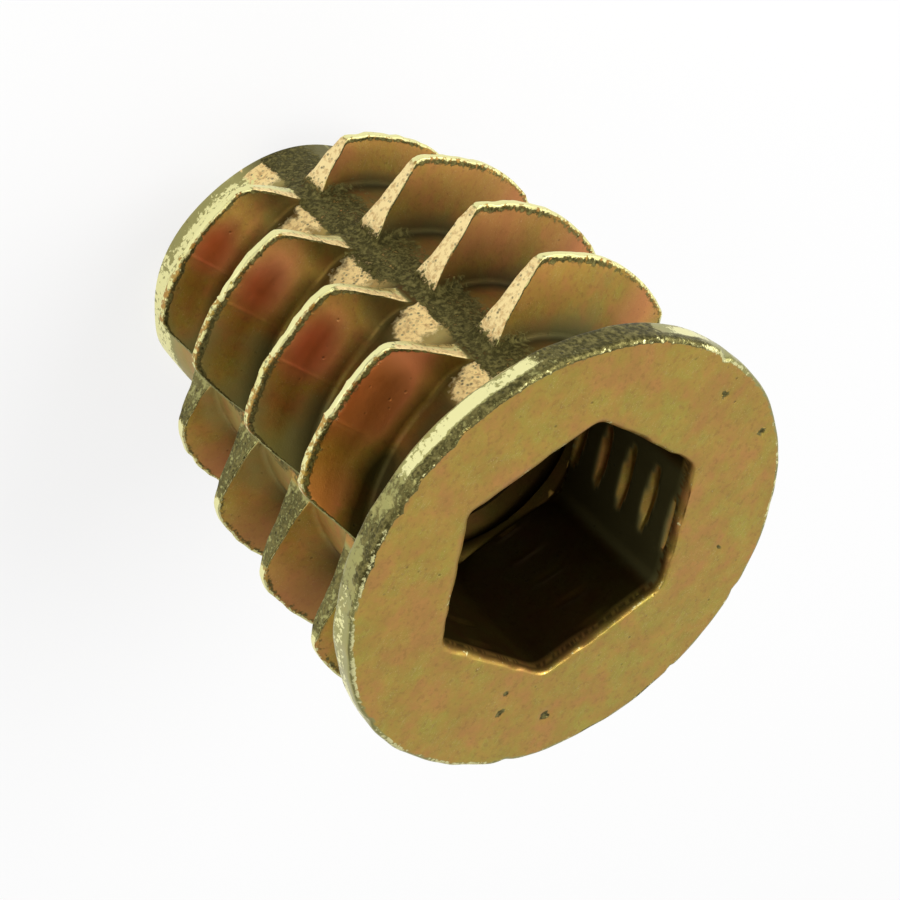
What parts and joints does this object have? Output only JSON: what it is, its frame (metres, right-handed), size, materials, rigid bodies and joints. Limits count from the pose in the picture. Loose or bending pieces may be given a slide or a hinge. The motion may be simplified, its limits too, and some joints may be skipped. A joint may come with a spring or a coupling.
{
  "type": "threaded insert",
  "caption": "Flanged hex-drive threaded insert for wood, die cast in one piece, with a coarse outside thread split into quarters and a tapped machine-thread hole.",
  "frame": {"origin": "centre of the bottom of the bounding box, which is the centre of the tip's end face, on the axis of the tapped hole", "axes": "+Z along the insert's axis from the tip to the flange face, -Y through the middle of one quarter of the outside thread"},
  "size_m": [0.0154, 0.0154, 0.0185],
  "materials": {
    "plated_zinc": "zinc casting with an iridescent yellow chromate plating, satin with brighter worn edges"
  },
  "bodies": {
    "root": {"insert": "plated_zinc"}
  },
  "joints": []
}
